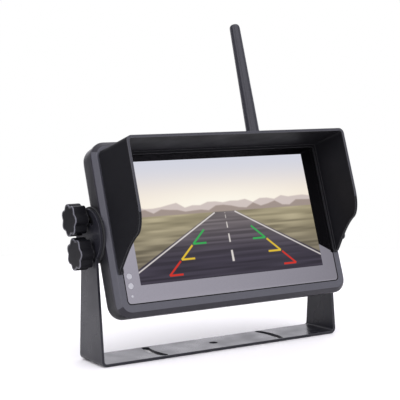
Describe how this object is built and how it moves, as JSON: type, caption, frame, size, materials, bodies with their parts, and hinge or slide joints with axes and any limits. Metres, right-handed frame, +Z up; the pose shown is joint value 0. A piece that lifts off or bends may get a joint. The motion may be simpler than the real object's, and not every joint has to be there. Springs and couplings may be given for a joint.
{
  "type": "rear-view monitor",
  "caption": "Vehicle rear-view monitor with a sun hood, tilting in a U bracket on clamp knobs, with a folding whip antenna.",
  "frame": {"origin": "centre of the footprint, on the surface that the bracket's base stands on", "axes": "+Z up, +X to the viewer's right along the tilt axis, +Y away from the viewer; stored tilted back 18 degrees"},
  "size_m": [0.2252, 0.1277, 0.2399],
  "materials": {
    "bracket_paint": "satin grey powder coat",
    "bezel_plastic": "fine matt texture",
    "rear_plastic": "fine matt texture",
    "hood_plastic": "fine matt texture",
    "panel_glass": "polished, black print behind",
    "gasket_foam": "matt foam",
    "lcd_glass": "polished",
    "lcd_steel": "bright",
    "diffuser": "satin",
    "touch_print": "printed",
    "board_green": "solder mask",
    "shield_tin": "bright",
    "flex_amber": "satin film",
    "component_black": "matt",
    "screw_steel": "zinc plated",
    "stud_steel": "bright",
    "washer_zinc": "zinc plated",
    "insert_brass": "plain",
    "jack_brass": "gold flashed",
    "washer_rubber": "matt",
    "knob_plastic": "satin",
    "antenna_rubber": "satin",
    "antenna_plastic": "satin",
    "element_copper": "plain"
  },
  "bodies": {
    "bracket": {"u_bracket": "bracket_paint"},
    "monitor": {"front_bezel": "bezel_plastic", "rear_cover": "rear_plastic", "sun_hood": "hood_plastic", "front_panel": "panel_glass", "panel_gasket": "gasket_foam", "lcd_cell": "lcd_glass", "lcd_frame": "lcd_steel", "backlight_unit": "diffuser", "touch_mark_upper": "touch_print", "touch_mark_lower": "touch_print", "indicator_window": "touch_print", "main_board": "board_green", "touch_key_board": "board_green", "receiver_module": "shield_tin", "video_chip": "component_black", "speaker": "component_black", "lcd_ribbon": "flex_amber", "power_inlet": "component_black", "power_inlet_pin": "jack_brass", "antenna_jack": "jack_brass", "friction_washer_left": "washer_rubber", "friction_washer_right": "washer_rubber", "case_screw_lower_left": "screw_steel", "board_screw_lower_left": "screw_steel", "case_screw_upper_left": "screw_steel", "board_screw_upper_left": "screw_steel", "case_screw_lower_right": "screw_steel", "board_screw_lower_right": "screw_steel", "case_screw_upper_right": "screw_steel", "board_screw_upper_right": "screw_steel", "threaded_insert_left_upper": "insert_brass", "threaded_insert_left_lower": "insert_brass", "threaded_insert_right_upper": "insert_brass", "threaded_insert_right_lower": "insert_brass"},
    "washer_left_upper": {"knob_washer_left_upper": "washer_zinc"},
    "knob_left_upper": {"clamp_knob_left_upper": "knob_plastic", "clamp_stud_left_upper": "stud_steel"},
    "washer_left_lower": {"knob_washer_left_lower": "washer_zinc"},
    "knob_left_lower": {"clamp_knob_left_lower": "knob_plastic", "clamp_stud_left_lower": "stud_steel"},
    "washer_right_upper": {"knob_washer_right_upper": "washer_zinc"},
    "knob_right_upper": {"clamp_knob_right_upper": "knob_plastic", "clamp_stud_right_upper": "stud_steel"},
    "washer_right_lower": {"knob_washer_right_lower": "washer_zinc"},
    "knob_right_lower": {"clamp_knob_right_lower": "knob_plastic", "clamp_stud_right_lower": "stud_steel"},
    "antenna_base": {"antenna_base": "antenna_plastic", "antenna_hinge_pin": "screw_steel"},
    "antenna_whip": {"antenna_knuckle": "antenna_plastic", "antenna_whip": "antenna_rubber", "antenna_element": "element_copper"}
  },
  "joints": [
    {"name": "tilt", "type": "hinge", "parent": "bracket", "child": "monitor", "pos_m": [0, -0.00822, 0.0884], "axis": [1, 0, 0], "range_deg": [-12, 48]},
    {"name": "feed_left_upper", "type": "slide", "parent": "monitor", "child": "washer_left_upper", "axis": [-1, 0, 0], "range_m": [0, 0.0016]},
    {"name": "turn_left_upper", "type": "hinge", "parent": "washer_left_upper", "child": "knob_left_upper", "pos_m": [-0.1075, -0.00456, 0.09967], "axis": [-1, 0, 0], "range_deg": [0, 720]},
    {"name": "feed_left_lower", "type": "slide", "parent": "monitor", "child": "washer_left_lower", "axis": [-1, 0, 0], "range_m": [0, 0.0016]},
    {"name": "turn_left_lower", "type": "hinge", "parent": "washer_left_lower", "child": "knob_left_lower", "pos_m": [-0.1075, -0.01188, 0.07713], "axis": [-1, 0, 0], "range_deg": [0, 720]},
    {"name": "feed_right_upper", "type": "slide", "parent": "monitor", "child": "washer_right_upper", "axis": [1, 0, 0], "range_m": [0, 0.0016]},
    {"name": "turn_right_upper", "type": "hinge", "parent": "washer_right_upper", "child": "knob_right_upper", "pos_m": [0.1075, -0.00456, 0.09967], "axis": [1, 0, 0], "range_deg": [0, 720]},
    {"name": "feed_right_lower", "type": "slide", "parent": "monitor", "child": "washer_right_lower", "axis": [1, 0, 0], "range_m": [0, 0.0016]},
    {"name": "turn_right_lower", "type": "hinge", "parent": "washer_right_lower", "child": "knob_right_lower", "pos_m": [0.1075, -0.01188, 0.07713], "axis": [1, 0, 0], "range_deg": [0, 720]},
    {"name": "antenna_swivel", "type": "hinge", "parent": "monitor", "child": "antenna_base", "pos_m": [0.0646, 0.02307, 0.1245], "axis": [0, 0.9511, -0.309], "range_deg": [-90, 90]},
    {"name": "antenna_fold", "type": "hinge", "parent": "antenna_base", "child": "antenna_whip", "pos_m": [0.0646, 0.02307, 0.1245], "axis": [-0.9997, 0.007, 0.0216], "range_deg": [0, 90]}
  ],
  "couplings": [
    {"joint": "turn_left_upper", "follows": "feed_left_upper", "rad_per_m": 7854},
    {"joint": "turn_left_lower", "follows": "feed_left_lower", "rad_per_m": 7854},
    {"joint": "turn_right_upper", "follows": "feed_right_upper", "rad_per_m": 7854},
    {"joint": "turn_right_lower", "follows": "feed_right_lower", "rad_per_m": 7854}
  ]
}
